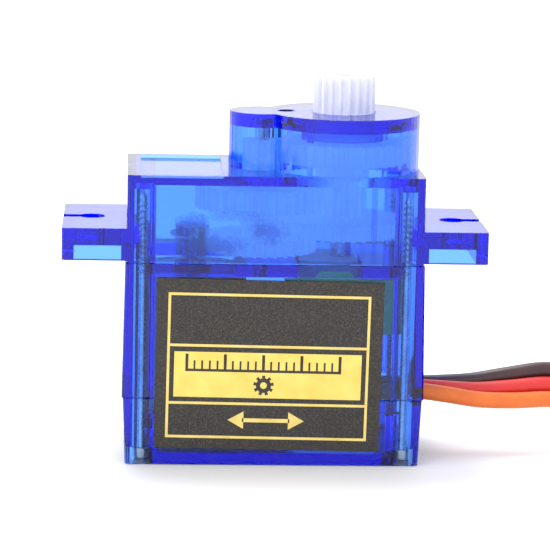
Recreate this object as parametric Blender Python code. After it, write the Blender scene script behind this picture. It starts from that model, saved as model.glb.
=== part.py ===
"""Hobby servo motor of the nine gram class, modelled piece by piece.

Frame: +X towards the cable, +Y to the back, +Z up, origin at the bottom centre of the case.
Sizes are in millimetres; MM turns them into metres when an object is stored.
"""
import math

import bmesh
import bpy
from mathutils import Matrix, Vector

MM = 0.001

# ---- driving dimensions: case ----------------------------------------------------------------
TOP_LENGTH, CASE_WIDTH = 22.45, 11.8
MIDDLE_LENGTH_TOP, MIDDLE_LENGTH_BOTTOM = 22.65, 23.0
COVER_LENGTH_TOP, COVER_LENGTH_BOTTOM = 22.8, 22.4
COVER_WIDTH_TOP, COVER_WIDTH_BOTTOM = 11.7, 11.5
COVER_TOP = 5.1
MIDDLE_BOTTOM, MIDDLE_TOP = 5.14, 15.5
TOP_BOTTOM, TOP_TOP = 15.54, 22.2
WALL = 0.65
PLATE = 0.8
DECK = 1.0
CORNER_RADIUS = 0.3

# ---- mounting ears ---------------------------------------------------------------------------
EAR_SPAN = 32.2
EAR_BOTTOM, EAR_TOP = 15.7, 18.15
EAR_HOLE_X, EAR_HOLE_RADIUS = 13.9, 1.0
EAR_SLIT = 1.1
EAR_POCKET_DEPTH = 1.05
EAR_RIM = 0.9

# ---- turret ----------------------------------------------------------------------------------
OUTPUT_X = 5.3
TURRET_RADIUS, TURRET_TOP = 5.87, 26.5
TURRET_WALL, ROOF = 0.57, 1.1
BOSS_RADIUS = 2.55
RIB_X, RIB_WIDTH, RIB_DEPTH = 7.4, 0.4, 0.3
VENT_X, VENT_RADIUS = 0.86, 0.68
BEARING_RADIUS, BEARING_DEPTH = 3.3, 0.92

# ---- gear train: all wheel pairs between the two axes share one centre distance ----------------
MODULE = 0.25
ADDENDUM, DEDENDUM = 0.8, 1.1
TOOTH_TIP_SHARE, TOOTH_ROOT_SHARE = 0.26, 0.5
WHEEL_TEETH, PINION_TEETH = 39, 11
FIRST_WHEEL_TEETH, MOTOR_TEETH = 33, 9
IDLER_X = OUTPUT_X - MODULE * (WHEEL_TEETH + PINION_TEETH) / 2
MOTOR_X = IDLER_X - MODULE * (FIRST_WHEEL_TEETH + MOTOR_TEETH) / 2
IDLER_PIN_RADIUS, IDLER_PIN_SEAT, RUNNING_GAP = 0.5, 0.5, 0.06
GEAR_1_Z = (15.75, 16.95, 18.75)
GEAR_2_Z = (17.15, 18.35, 21.2)
GEAR_3_Z = (19.1, 20.9, 24.3)
OUTPUT_HUB_Z, OUTPUT_WHEEL_Z = 21.3, (22.75, 24.35)
COLLAR_RADIUS, COLLAR_TOP = 2.42, 26.45
SPLINE_TEETH, SPLINE_RADIUS, SPLINE_DEPTH, SPLINE_TOP = 21, 2.4, 0.2, 29.3
HORN_SCREW_RADIUS, HORN_SCREW_DEPTH = 0.8, 3.6

# ---- screws and their posts --------------------------------------------------------------------
SCREW_X, SCREW_Y = 10.0, 4.7
POST_RADIUS, COVER_POST_RADIUS, SCREW_HOLE_RADIUS = 0.98, 1.35, 0.72
SCREW_RADIUS, SCREW_TIP_Z = 0.6, 20.9
HEAD_RADIUS, HEAD_HEIGHT, HEAD_BASE = 0.88, 0.8, 0.35
COUNTERBORE_RADIUS, COUNTERBORE_TOP = 0.95, 1.25
COVER_POST_TOP = 3.8

# ---- motor, sensor, board ----------------------------------------------------------------------
CAN_RADIUS, CAN_FLAT, CAN_WALL = 4.55, 4.15, 0.35
CAN_BOTTOM, CAN_TOP = 3.2, 14.3
SHAFT_RADIUS = 0.4
POT_LOW, POT_HIGH = (1.9, -2.9, 12.0), (8.7, 2.9, 14.35)
POT_NECK_RIGHT, POT_NECK_TOP = 6.4, 15.35
POT_SHAFT_RADIUS, POT_SHAFT_Z = 0.8, (12.65, 23.7)
BOARD_FRONT, BOARD_BACK = -3.95, -3.35
BOARD_OUTLINE = [(0.8, 3.6), (8.0, 3.6), (8.0, 9.9), (9.15, 9.9), (9.15, 14.1), (6.3, 14.1),
                 (5.75, 14.65), (3.55, 14.65), (3.0, 14.1), (0.8, 14.1)]

# ---- cable ---------------------------------------------------------------------------------------
WIRE_RADIUS = 0.6
WIRE_PITCH = 1.3
EXIT_Z = 4.9
EXIT_HALF_WIDTH, EXIT_BOTTOM, EXIT_TOP = 2.1, 4.2, 5.6
COIL_LEFT, COIL_RIGHT, COIL_Y, COIL_PATH_RADIUS = 37.0, 52.2, -2.1, 7.54
COIL_LOW, COIL_TOP, COIL_TAB = 0.02, 3.9, 5.1
PLUG_PITCH = 2.54
PLUG_FRONT_X, PLUG_BACK_X, PLUG_Y = 42.0, 56.0, -1.6
PLUG_WIDTH, PLUG_LOW, PLUG_HIGH = 7.7, 3.94, 6.44
PLUG_CAVITY, CONTACT_HALF_WIDTH, CONTACT_HALF_HEIGHT = 0.7, 0.55, 0.5
CONTACT_START, CONTACT_LENGTH = 0.9, 8.1
CONTACT_BORE_HALF, CONTACT_BORE_DEPTH = 0.34, 6.5
TOUCH = 0.04
WELD = 0.002


# ---- materials -----------------------------------------------------------------------------------
def material(name, colour, roughness=0.4, metallic=0.0, transmission=0.0):
    found = bpy.data.materials.get(name)
    if found:
        return found
    made = bpy.data.materials.new(name)
    made.use_nodes = True
    shader = made.node_tree.nodes["Principled BSDF"]
    shader.inputs["Base Color"].default_value = (*colour, 1.0)
    shader.inputs["Roughness"].default_value = roughness
    shader.inputs["Metallic"].default_value = metallic
    shader.inputs["Transmission Weight"].default_value = transmission
    return made


def blue_plastic():
    return material("translucent_blue", (0.08, 0.25, 0.95), 0.1, transmission=0.8)


def nylon():
    return material("white_nylon", (0.85, 0.85, 0.9), 0.45)


def steel():
    return material("steel", (0.6, 0.6, 0.62), 0.3, 1.0)


def brass():
    return material("brass", (0.8, 0.6, 0.25), 0.3, 1.0)


def dark_plastic():
    return material("dark_plastic", (0.03, 0.03, 0.035), 0.5)


# ---- outlines: lists of (x, y), anticlockwise ------------------------------------------------------
def arc(cx, cy, radius, start, end, steps):
    """Points on an arc, both ends included, angles in degrees."""
    turns = [math.radians(start + (end - start) * i / steps) for i in range(steps + 1)]
    return [(cx + radius * math.cos(t), cy + radius * math.sin(t)) for t in turns]


def circle(cx, cy, radius, sides=32):
    return arc(cx, cy, radius, 0, 360, sides)[:-1]


def rectangle(x0, y0, x1, y1, radius=0.0):
    if radius == 0.0:
        return [(x0, y0), (x1, y0), (x1, y1), (x0, y1)]
    points = []
    corners = ((x1, y0, -1, 1, -90), (x1, y1, -1, -1, 0), (x0, y1, 1, -1, 90), (x0, y0, 1, 1, 180))
    for x, y, sx, sy, start in corners:
        points += arc(x + sx * radius, y + sy * radius, radius, start, start + 90, 3)
    return points


def centred(length, width, radius=0.0):
    return rectangle(-length / 2, -width / 2, length / 2, width / 2, radius)


def chamber(half_x, half_y, post_radius=POST_RADIUS):
    """The hollow of a case: a rectangle whose corners go round the screw posts."""
    reach_x = math.sqrt(post_radius ** 2 - (half_y - SCREW_Y) ** 2)
    reach_y = math.sqrt(post_radius ** 2 - (half_x - SCREW_X) ** 2)
    start = math.degrees(math.atan2(-reach_y, half_x - SCREW_X))
    end = math.degrees(math.atan2(half_y - SCREW_Y, -reach_x)) - 360
    quarter = arc(SCREW_X, SCREW_Y, post_radius, start, end, 8)
    points = list(quarter)
    points += [(-x, y) for x, y in reversed(quarter)]
    points += [(-x, -y) for x, y in quarter]
    points += [(x, -y) for x, y in reversed(quarter)]
    return points


def gear(cx, teeth, phase=0.0):
    """A gear's outline; phase is where the first tooth's middle points, in degrees."""
    pitch_radius = MODULE * teeth / 2
    step = 2 * math.pi / teeth
    tip, root = pitch_radius + ADDENDUM * MODULE, pitch_radius - DEDENDUM * MODULE
    tip_half = TOOTH_TIP_SHARE * math.pi * MODULE / 2 / tip
    root_half = TOOTH_ROOT_SHARE * math.pi * MODULE / 2 / root
    points = []
    for tooth in range(teeth):
        middle = math.radians(phase) + tooth * step
        for radius, side in ((root, -root_half), (tip, -tip_half), (tip, tip_half), (root, root_half)):
            points.append((cx + radius * math.cos(middle + side), radius * math.sin(middle + side)))
    return points


def splined(cx, radius, depth, teeth):
    points = []
    for i in range(2 * teeth):
        r = radius if i % 2 == 0 else radius - depth
        middle = math.pi * i / teeth
        for side in (-0.28, 0.28):
            turn = middle + side * math.pi / teeth
            points.append((cx + r * math.cos(turn), r * math.sin(turn)))
    return points


def flatted(cx, radius, flat, sides=32):
    """A circle whose left and right are cut flat."""
    start = math.degrees(math.acos(flat / radius))
    return (arc(cx, 0, radius, start, 180 - start, sides // 2)
            + arc(cx, 0, radius, 180 + start, 360 - start, sides // 2))


# ---- meshes ----------------------------------------------------------------------------------------
def ring_of(bm, outline, z):
    verts = [bm.verts.new((x, y, z)) for x, y in outline]
    edges = [bm.edges.new((verts[i - 1], verts[i])) for i in range(len(verts))]
    return verts, edges


def wall_between(bm, low, high):
    for i in range(len(low)):
        bm.faces.new((low[i - 1], low[i], high[i], high[i - 1]))


def fill_between(bm, first, second):
    """The flat face between two loops at one height, or inside one loop."""
    edges = [e for loop in (first, second) if loop for e in loop[1]]
    bmesh.ops.triangle_fill(bm, use_beauty=True, use_dissolve=False, edges=edges)


def stack(sections):
    """One closed mesh from sections (outline, bore outline or None, z low, z high), bottom first."""
    bm = bmesh.new()
    last_out = last_bore = None
    last = (None, None)
    for outline, bore, low, high in sections:
        out_low = last_out if outline is last[0] else ring_of(bm, outline, low)
        if bore is None:
            bore_low = None
        else:
            bore_low = last_bore if bore is last[1] else ring_of(bm, bore, low)
        if last_out is None:
            fill_between(bm, out_low, bore_low)
        else:
            if out_low is not last_out:
                fill_between(bm, last_out, out_low)
            if bore_low is not last_bore and (bore_low or last_bore):
                fill_between(bm, last_bore, bore_low)
        out_high = ring_of(bm, outline, high)
        wall_between(bm, out_low[0], out_high[0])
        bore_high = None
        if bore is not None:
            bore_high = ring_of(bm, bore, high)
            wall_between(bm, bore_low[0], bore_high[0])
        last_out, last_bore, last = out_high, bore_high, (outline, bore)
    fill_between(bm, last_out, last_bore)
    return closed(bm)


def loft(low_outline, high_outline, low, high):
    """A solid whose outline changes evenly from bottom to top."""
    bm = bmesh.new()
    bottom, top = ring_of(bm, low_outline, low)[0], ring_of(bm, high_outline, high)[0]
    bm.faces.new(bottom)
    bm.faces.new(top)
    wall_between(bm, bottom, top)
    return closed(bm)


def closed(bm):
    bmesh.ops.recalc_face_normals(bm, faces=bm.faces)
    mesh = bpy.data.meshes.new("solid")
    bm.to_mesh(mesh)
    bm.free()
    return mesh


def prism(outline, low, high, bore=None):
    return stack([(outline, bore, low, high)])


def box(low, high):
    return prism(rectangle(low[0], low[1], high[0], high[1]), low[2], high[2])


def turned(cx, cy, profile, sides=24):
    """A solid of revolution about a vertical axis, from (radius, z) pairs on its outer side."""
    bm = bmesh.new()
    rings = []
    for radius, z in profile:
        rings.append([bm.verts.new((x, y, z)) for x, y in circle(cx, cy, radius, sides)])
    bm.faces.new(rings[0])
    bm.faces.new(rings[-1])
    for low, high in zip(rings, rings[1:]):
        wall_between(bm, low, high)
    return closed(bm)


def moved(mesh, matrix):
    mesh.transform(matrix)
    return mesh


def carved(base, tools, operation="DIFFERENCE"):
    """base with every tool cut away, or joined on."""
    for tool in tools:
        body = bpy.data.objects.new("carving", base)
        other = bpy.data.objects.new("tool", tool)
        for item in (body, other):
            bpy.context.scene.collection.objects.link(item)
        step = body.modifiers.new("step", "BOOLEAN")
        step.operation, step.solver, step.object = operation, "EXACT", other
        bpy.context.view_layer.update()
        evaluated = body.evaluated_get(bpy.context.evaluated_depsgraph_get())
        base = welded(bpy.data.meshes.new_from_object(evaluated))
        for item in (body, other):
            bpy.data.objects.remove(item)
    return base


def welded(mesh):
    """Merge the near-coincident points that a cut leaves."""
    bm = bmesh.new()
    bm.from_mesh(mesh)
    bmesh.ops.remove_doubles(bm, verts=bm.verts, dist=WELD)
    bmesh.ops.dissolve_degenerate(bm, edges=bm.edges, dist=WELD)
    bm.to_mesh(mesh)
    bm.free()
    return mesh


def joined(base, tools):
    return carved(base, tools, "UNION")


def place(name, mesh, look, pivot=(0.0, 0.0, 0.0), parent=None):
    """Store a mesh drawn in the case's frame as an object whose origin is at pivot."""
    mesh.transform(Matrix.Scale(MM, 4) @ Matrix.Translation(-Vector(pivot)))
    mesh.name = name
    mesh.materials.clear()
    mesh.materials.append(look)
    item = bpy.data.objects.new(name, mesh)
    bpy.context.scene.collection.objects.link(item)
    item.location = Vector(pivot) * MM
    if parent:
        item.parent = parent
        item.location -= parent.location
    return item


def pivot_empty(name, x):
    empty = bpy.data.objects.new(name, None)
    empty.empty_display_size = 3 * MM
    empty.location = (x * MM, 0, 0)
    bpy.context.scene.collection.objects.link(empty)
    return empty


def smooth_route(points, spacing):
    """Evenly spaced points on a smooth curve through the given ones."""
    fine = []
    count = len(points)
    for i in range(count - 1):
        before, start = points[max(i - 1, 0)], points[i]
        end, after = points[i + 1], points[min(i + 2, count - 1)]
        for k in range(20):
            t = k / 20
            fine.append(0.5 * (2 * start + (end - before) * t
                               + (2 * before - 5 * start + 4 * end - after) * t ** 2
                               + (3 * start - before - 3 * end + after) * t ** 3))
    fine.append(points[-1])
    even, gathered = [fine[0]], 0.0
    for a, b in zip(fine, fine[1:]):
        gathered += (b - a).length
        if gathered >= spacing:
            even.append(b)
            gathered = 0.0
    if (even[-1] - fine[-1]).length > spacing / 2:
        even.append(fine[-1])
    else:
        even[-1] = fine[-1]
    return even


def tube(name, points, radius, look):
    curve = bpy.data.curves.new(name, "CURVE")
    curve.dimensions = "3D"
    curve.bevel_depth = radius * MM
    curve.bevel_resolution = 2
    curve.use_fill_caps = True
    spline = curve.splines.new("POLY")
    spline.points.add(len(points) - 1)
    for target, point in zip(spline.points, points):
        target.co = (*(point * MM), 1.0)
    curve.materials.append(look)
    item = bpy.data.objects.new(name, curve)
    bpy.context.scene.collection.objects.link(item)
    return item


# ---- case ------------------------------------------------------------------------------------------
def screw_places():
    return [(sx * SCREW_X, sy * SCREW_Y) for sx in (-1, 1) for sy in (-1, 1)]


def screw_holes(low, high):
    return [prism(circle(x, y, SCREW_HOLE_RADIUS, 16), low, high) for x, y in screw_places()]


def top_case():
    ear_x = EAR_SPAN / 2
    body = prism(centred(TOP_LENGTH, CASE_WIDTH, CORNER_RADIUS), TOP_BOTTOM, TOP_TOP)
    ears = prism(centred(EAR_SPAN, CASE_WIDTH, CORNER_RADIUS), EAR_BOTTOM, EAR_TOP)
    big = prism(circle(OUTPUT_X, 0, TURRET_RADIUS, 64), TOP_TOP - PLATE / 2, TURRET_TOP)
    small = prism(circle(IDLER_X, 0, BOSS_RADIUS, 32), TOP_TOP - PLATE / 2, TURRET_TOP)
    shell = joined(body, [ears, big, small])
    half_x, half_y = TOP_LENGTH / 2 - WALL, CASE_WIDTH / 2 - WALL
    roof_low = TURRET_TOP - ROOF
    cuts = [prism(chamber(half_x, half_y), TOP_BOTTOM - 1, TOP_TOP - PLATE)]
    cuts.append(prism(circle(OUTPUT_X, 0, TURRET_RADIUS - TURRET_WALL, 64), TOP_TOP - PLATE - 1, roof_low))
    cuts.append(prism(circle(IDLER_X, 0, BOSS_RADIUS - TURRET_WALL, 32), TOP_TOP - PLATE - 1, roof_low))
    cuts.append(box((-10.2, -5.2, TOP_TOP - 0.25), (-4.0, 5.3, TOP_TOP + 1)))
    cuts += screw_holes(TOP_BOTTOM - 1, SCREW_TIP_Z + 0.2)
    for side in (-1, 1):
        inner, outer = TOP_LENGTH / 2 + 0.4, ear_x - EAR_RIM
        xs = sorted((side * inner, side * outer))
        pocket = ((xs[0], -CASE_WIDTH / 2 + EAR_RIM, EAR_BOTTOM - 1),
                  (xs[1], CASE_WIDTH / 2 - EAR_RIM, EAR_BOTTOM + EAR_POCKET_DEPTH))
        cuts.append(box(*pocket))
        cuts.append(prism(circle(side * EAR_HOLE_X, 0, EAR_HOLE_RADIUS, 24), EAR_BOTTOM - 1, EAR_TOP + 1))
        xs = sorted((side * EAR_HOLE_X, side * (ear_x + 1)))
        cuts.append(box((xs[0], -EAR_SLIT / 2, EAR_BOTTOM - 1), (xs[1], EAR_SLIT / 2, EAR_TOP + 1)))
    shell = carved(shell, cuts)
    bearing = prism(circle(OUTPUT_X, 0, BEARING_RADIUS, 32), roof_low - BEARING_DEPTH, roof_low + 0.2)
    rib_spans = ((-half_y - WALL / 2, RIB_DEPTH - half_y), (half_y - RIB_DEPTH, half_y + WALL / 2))
    rib_left, rib_right = RIB_X - RIB_WIDTH / 2, RIB_X + RIB_WIDTH / 2
    ribs = [box((rib_left, front, TOP_BOTTOM), (rib_right, back, TOP_TOP - PLATE / 2))
            for front, back in rib_spans]
    shell = joined(shell, [bearing] + ribs)
    pin_seat = circle(IDLER_X, 0, IDLER_PIN_RADIUS + TOUCH, 16)
    shell = carved(shell, [
        prism(circle(OUTPUT_X, 0, COLLAR_RADIUS + RUNNING_GAP, 48), roof_low - 2, TURRET_TOP + 1),
        prism(pin_seat, roof_low - 1, roof_low + IDLER_PIN_SEAT + 0.1),
        prism(circle(VENT_X, 0, VENT_RADIUS, 16), roof_low - 0.2, TURRET_TOP + 1)])
    place("top_case", shell, blue_plastic())


def cable_exit():
    return box((SCREW_X, -EXIT_HALF_WIDTH, EXIT_BOTTOM), (EAR_SPAN / 2, EXIT_HALF_WIDTH, EXIT_TOP))


def middle_case():
    shell = loft(centred(MIDDLE_LENGTH_BOTTOM, CASE_WIDTH, CORNER_RADIUS),
                 centred(MIDDLE_LENGTH_TOP, CASE_WIDTH, CORNER_RADIUS), MIDDLE_BOTTOM, MIDDLE_TOP)
    half_x, half_y = MIDDLE_LENGTH_TOP / 2 - WALL, CASE_WIDTH / 2 - WALL
    deck_low = MIDDLE_TOP - DECK
    cuts = [prism(chamber(half_x, half_y), MIDDLE_BOTTOM - 1, deck_low)]
    cuts.append(box((MOTOR_X - 3.2, -3.6, deck_low - 1), (MOTOR_X + 3.2, 3.6, MIDDLE_TOP + 1)))
    cuts.append(box((1.7, -4.8, deck_low - 1), (6.6, 4.8, MIDDLE_TOP + 1)))
    cuts.append(prism(circle(IDLER_X, 0, IDLER_PIN_RADIUS + TOUCH, 16), deck_low - 1, MIDDLE_TOP + 1))
    cuts += screw_holes(MIDDLE_BOTTOM - 1, MIDDLE_TOP + 1)
    cuts.append(cable_exit())
    place("middle_case", carved(shell, cuts), blue_plastic())


def bottom_cover():
    shell = loft(centred(COVER_LENGTH_BOTTOM, COVER_WIDTH_BOTTOM, CORNER_RADIUS),
                 centred(COVER_LENGTH_TOP, COVER_WIDTH_TOP, CORNER_RADIUS), 0.0, COVER_TOP)
    half_x, half_y = COVER_LENGTH_BOTTOM / 2 - WALL, COVER_WIDTH_BOTTOM / 2 - WALL
    cuts = [prism(chamber(half_x, half_y, COVER_POST_RADIUS), PLATE, COVER_TOP + 1)]
    cuts.append(prism(centred(2 * half_x, 2 * half_y), COVER_POST_TOP, COVER_TOP + 1))
    cuts += screw_holes(-1, COVER_TOP)
    cuts += [prism(circle(x, y, COUNTERBORE_RADIUS, 24), -1, COUNTERBORE_TOP) for x, y in screw_places()]
    cuts.append(cable_exit())
    place("bottom_cover", carved(shell, cuts), blue_plastic())


def case_screws():
    for number, (x, y) in enumerate(screw_places(), 1):
        head_top = HEAD_BASE + HEAD_HEIGHT
        profile = [(HEAD_RADIUS * 0.8, HEAD_BASE), (HEAD_RADIUS, HEAD_BASE + 0.2), (HEAD_RADIUS, head_top),
                   (SCREW_RADIUS, head_top), (SCREW_RADIUS, SCREW_TIP_Z - 0.8), (0.15, SCREW_TIP_Z)]
        place(f"case_screw_{number}", turned(x, y, profile, 16), steel(), pivot=(x, y, HEAD_BASE))


def label():
    width, height, centre_z, tilt = 17.15, 13.1, 7.8, 0.7
    sheet = box((-width / 2, -0.1, -height / 2), (width / 2, 0.0, height / 2))
    front = -CASE_WIDTH / 2 - TOUCH
    turn = Matrix.Translation((-0.38, front, centre_z)) @ Matrix.Rotation(math.radians(tilt), 4, "Y")
    place("label", moved(sheet, turn), material("label_paper", (0.045, 0.035, 0.03), 0.7))


# ---- gears -----------------------------------------------------------------------------------------
def compound(x, wheel_teeth, wheel_phase, pinion_phase, heights, bore_radius):
    """A wheel with a pinion on top, on one bore."""
    low, middle, high = heights
    bore = circle(x, 0, bore_radius, 20)
    return stack([(gear(x, wheel_teeth, wheel_phase), bore, low, middle),
                  (gear(x, PINION_TEETH, pinion_phase), bore, middle, high)])


def gears():
    """Pinions have a tooth on the line to their partner, wheels have a gap there."""
    half_gap = 180 / WHEEL_TEETH
    idler_bore = IDLER_PIN_RADIUS + RUNNING_GAP
    stub_bore = POT_SHAFT_RADIUS + RUNNING_GAP
    gear_1 = compound(IDLER_X, FIRST_WHEEL_TEETH, 180 + 180 / FIRST_WHEEL_TEETH, 0, GEAR_1_Z, idler_bore)
    gear_2 = compound(OUTPUT_X, WHEEL_TEETH, 180 + half_gap, 180, GEAR_2_Z, stub_bore)
    gear_3 = compound(IDLER_X, WHEEL_TEETH, half_gap, 0, GEAR_3_Z, idler_bore)
    place("gear_1", gear_1, nylon(), (IDLER_X, 0, 0))
    place("gear_2", gear_2, nylon(), (OUTPUT_X, 0, 0))
    place("gear_3", gear_3, nylon(), (IDLER_X, 0, 0))
    pin = [(IDLER_PIN_RADIUS, MIDDLE_TOP - DECK + TOUCH),
           (IDLER_PIN_RADIUS, TURRET_TOP - ROOF + IDLER_PIN_SEAT)]
    place("idler_pin", turned(IDLER_X, 0, pin, 16), steel(), (IDLER_X, 0, 0))


def output_gear(pivot):
    x = OUTPUT_X
    shaft_bore = circle(x, 0, POT_SHAFT_RADIUS + TOUCH, 20)
    screw_bore = circle(x, 0, HORN_SCREW_RADIUS, 20)
    wheel = gear(x, WHEEL_TEETH, 180 + 180 / WHEEL_TEETH)
    collar = circle(x, 0, COLLAR_RADIUS, 48)
    spline = splined(x, SPLINE_RADIUS, SPLINE_DEPTH, SPLINE_TEETH)
    wheel_low, wheel_high = OUTPUT_WHEEL_Z
    shaft_top = POT_SHAFT_Z[1] + 0.1
    screw_low = SPLINE_TOP - HORN_SCREW_DEPTH
    mesh = stack([
        (circle(x, 0, 2.0, 24), shaft_bore, OUTPUT_HUB_Z, wheel_low),
        (wheel, shaft_bore, wheel_low, shaft_top),
        (wheel, None, shaft_top, wheel_high),
        (collar, None, wheel_high, screw_low),
        (collar, screw_bore, screw_low, COLLAR_TOP),
        (spline, screw_bore, COLLAR_TOP, SPLINE_TOP)])
    place("output_gear", mesh, nylon(), (x, 0, 0), pivot)
    shaft = turned(x, 0, [(POT_SHAFT_RADIUS, z) for z in POT_SHAFT_Z], 16)
    place("potentiometer_shaft", shaft, steel(), (x, 0, 0), pivot)


# ---- motor -----------------------------------------------------------------------------------------
def motor():
    outside = flatted(MOTOR_X, CAN_RADIUS, CAN_FLAT)
    inside = flatted(MOTOR_X, CAN_RADIUS - CAN_WALL, CAN_FLAT - CAN_WALL)
    bearing = circle(MOTOR_X, 0, SHAFT_RADIUS + RUNNING_GAP, 16)
    can = stack([(outside, inside, CAN_BOTTOM, CAN_TOP - CAN_WALL),
                 (outside, bearing, CAN_TOP - CAN_WALL, CAN_TOP),
                 (circle(MOTOR_X, 0, 1.5, 20), bearing, CAN_TOP, CAN_TOP + 0.6)])
    place("motor_can", can, steel(), (MOTOR_X, 0, 0))
    plug = flatted(MOTOR_X, CAN_RADIUS - CAN_WALL - TOUCH, CAN_FLAT - CAN_WALL - TOUCH)
    cap = stack([(outside, bearing, CAN_BOTTOM - 0.8, CAN_BOTTOM - TOUCH),
                 (plug, bearing, CAN_BOTTOM - TOUCH, CAN_BOTTOM + 0.8)])
    place("motor_end_cap", cap, dark_plastic(), (MOTOR_X, 0, 0))
    for side, name in ((-1, "motor_terminal_left"), (1, "motor_terminal_right")):
        x = MOTOR_X + side * 2.6
        tab = box((x - 0.15, -0.7, 1.1), (x + 0.15, 0.7, CAN_BOTTOM - 0.8 - TOUCH))
        place(name, tab, brass(), (x, 0, 1.1))
    for side, name in ((-90, "magnet_front"), (90, "magnet_back")):
        inner, outer = 2.95, CAN_RADIUS - CAN_WALL - TOUCH
        shape = (arc(MOTOR_X, 0, outer, side - 50, side + 50, 12)
                 + arc(MOTOR_X, 0, inner, side + 50, side - 50, 10))
        place(name, prism(shape, 5.6, 13.2), dark_plastic(), (MOTOR_X, 0, 0))


def rotor(pivot):
    bore = circle(MOTOR_X, 0, SHAFT_RADIUS + TOUCH / 2, 16)
    centre = (MOTOR_X, 0, 0)
    shaft = turned(MOTOR_X, 0, [(SHAFT_RADIUS, 2.6), (SHAFT_RADIUS, 17.7)], 16)
    place("motor_shaft", shaft, steel(), centre, pivot)
    pinion = prism(gear(MOTOR_X, MOTOR_TEETH, 0), 15.3, 17.6, bore)
    place("motor_pinion", pinion, steel(), centre, pivot)
    poles = []
    for pole in range(3):
        middle = 120 * pole
        poles += arc(MOTOR_X, 0, 2.75, middle - 48, middle + 48, 8)
        poles += arc(MOTOR_X, 0, 1.3, middle + 55, middle + 65, 1)
    place("armature", prism(poles, 6.3, 12.4, bore), steel(), centre, pivot)
    commutator = prism(circle(MOTOR_X, 0, 1.1, 18), 4.4, 6.1, bore)
    place("commutator", commutator, material("copper", (0.75, 0.35, 0.2), 0.3, 1.0), centre, pivot)


# ---- position sensor and circuit board ---------------------------------------------------------------
def potentiometer():
    outline = rectangle(POT_LOW[0], POT_LOW[1], POT_HIGH[0], POT_HIGH[1])
    bore = circle(OUTPUT_X, 0, POT_SHAFT_RADIUS + RUNNING_GAP, 20)
    floor = POT_SHAFT_Z[0] - 0.1
    neck = rectangle(POT_LOW[0] + 0.05, POT_LOW[1] + 0.05, POT_NECK_RIGHT, POT_HIGH[1] - 0.05)
    body = stack([(outline, None, POT_LOW[2], floor), (outline, bore, floor, POT_HIGH[2]),
                  (neck, bore, POT_HIGH[2], POT_NECK_TOP)])
    grey = material("sensor_plastic", (0.35, 0.33, 0.42), 0.5)
    place("potentiometer_case", body, grey, (OUTPUT_X, 0, POT_LOW[2]))
    wafer = box((POT_LOW[0] + 0.3, POT_LOW[1] + 0.3, POT_LOW[2] - 0.6),
                (POT_HIGH[0] - 0.3, POT_HIGH[1] - 0.3, POT_LOW[2] - TOUCH))
    place("potentiometer_wafer", wafer, material("brown_laminate", (0.25, 0.12, 0.06), 0.6))
    for number in range(3):
        x = OUTPUT_X + (number - 1) * 2.0
        pin = box((x - 0.25, BOARD_BACK + TOUCH, 12.4), (x + 0.25, POT_LOW[1] - TOUCH, 12.9))
        place(f"potentiometer_pin_{number + 1}", pin, brass(), (x, POT_LOW[1], 12.65))


def circuit_board():
    upright = Matrix.Translation((0, BOARD_BACK, 0)) @ Matrix.Rotation(math.radians(90), 4, "X")
    board = moved(prism(BOARD_OUTLINE, 0.0, BOARD_BACK - BOARD_FRONT), upright)
    place("circuit_board", board, material("green_laminate", (0.05, 0.35, 0.15), 0.4))
    face = BOARD_BACK + TOUCH
    parts = (("control_chip", 2.6, 7.2, 6.4, 10.4, 1.3), ("transistor_1", 1.0, 2.3, 9.4, 10.9, 0.9),
             ("transistor_2", 1.1, 2.4, 4.0, 5.3, 0.9), ("capacitor", 3.0, 4.6, 4.1, 5.2, 0.9))
    for name, x0, x1, z0, z1, height in parts:
        place(name, box((x0, face, z0), (x1, face + height, z1)), dark_plastic(), (x0, face, z0))
    for number in range(2):
        x, low = 5.4 + number * 1.6, 11.0
        chip = box((x, BOARD_FRONT - 0.45, low), (x + 0.8, BOARD_FRONT - TOUCH, low + 1.5))
        place(f"resistor_{number + 1}", chip, dark_plastic(), (x, BOARD_FRONT, low))


def motor_wires():
    red = material("wire_red", (0.8, 0.05, 0.04))
    looks = (("motor_wire_black", -1, dark_plastic()), ("motor_wire_red", 1, red))
    for name, side, look in looks:
        start = MOTOR_X + side * 2.6
        depth = 1.6 if side < 0 else -1.6
        route = [(start, math.copysign(1.15, depth), 1.7), (start + 0.7, depth, 1.6),
                 (-2.0, depth * 1.1, 1.5), (0.4, depth * 0.8 - 0.6, 1.7),
                 (2.2 - side * 0.7, -2.4, 2.3), (2.5 - side * 0.7, -3.2, 3.1)]
        points = smooth_route([Vector(p) for p in route], 0.9)
        tube(name, points, 0.33, look)


# ---- cable -----------------------------------------------------------------------------------------
WIRES = (("brown", 1, (0.10, 0.035, 0.02)),
         ("red", 0, (0.80, 0.05, 0.04)),
         ("orange", -1, (0.90, 0.28, 0.03)))

# Centre line of the ribbon, how far it has rolled from flat in degrees and the wires' spacing:
# out of the case to the coil, then from the coil up to the plug that lies on it.
LEAD_ROUTE = [((11.4, 0.0, 4.9), 0, 1.3), ((13.6, 0.0, 4.8), 8, 1.3), ((16.2, 0.2, 4.65), 22, 1.3),
              ((19.0, 0.7, 4.75), 38, 1.3), ((22.2, 1.5, 4.85), 52, 1.3), ((25.0, 2.6, 4.1), 66, 1.3),
              ((27.8, 4.2, 2.9), 80, 1.3), ((30.0, 5.2, 2.2), 88, 1.3)]
TAIL_ROUTE = [((60.0, -9.3, 2.2), 86, 1.3), ((62.0, -7.6, 3.1), 68, 1.3), ((62.6, -4.8, 4.5), 42, 1.3),
              ((61.0, -2.4, 5.3), 15, 1.5), ((58.4, -1.65, 5.25), 3, 2.1)]


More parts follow.
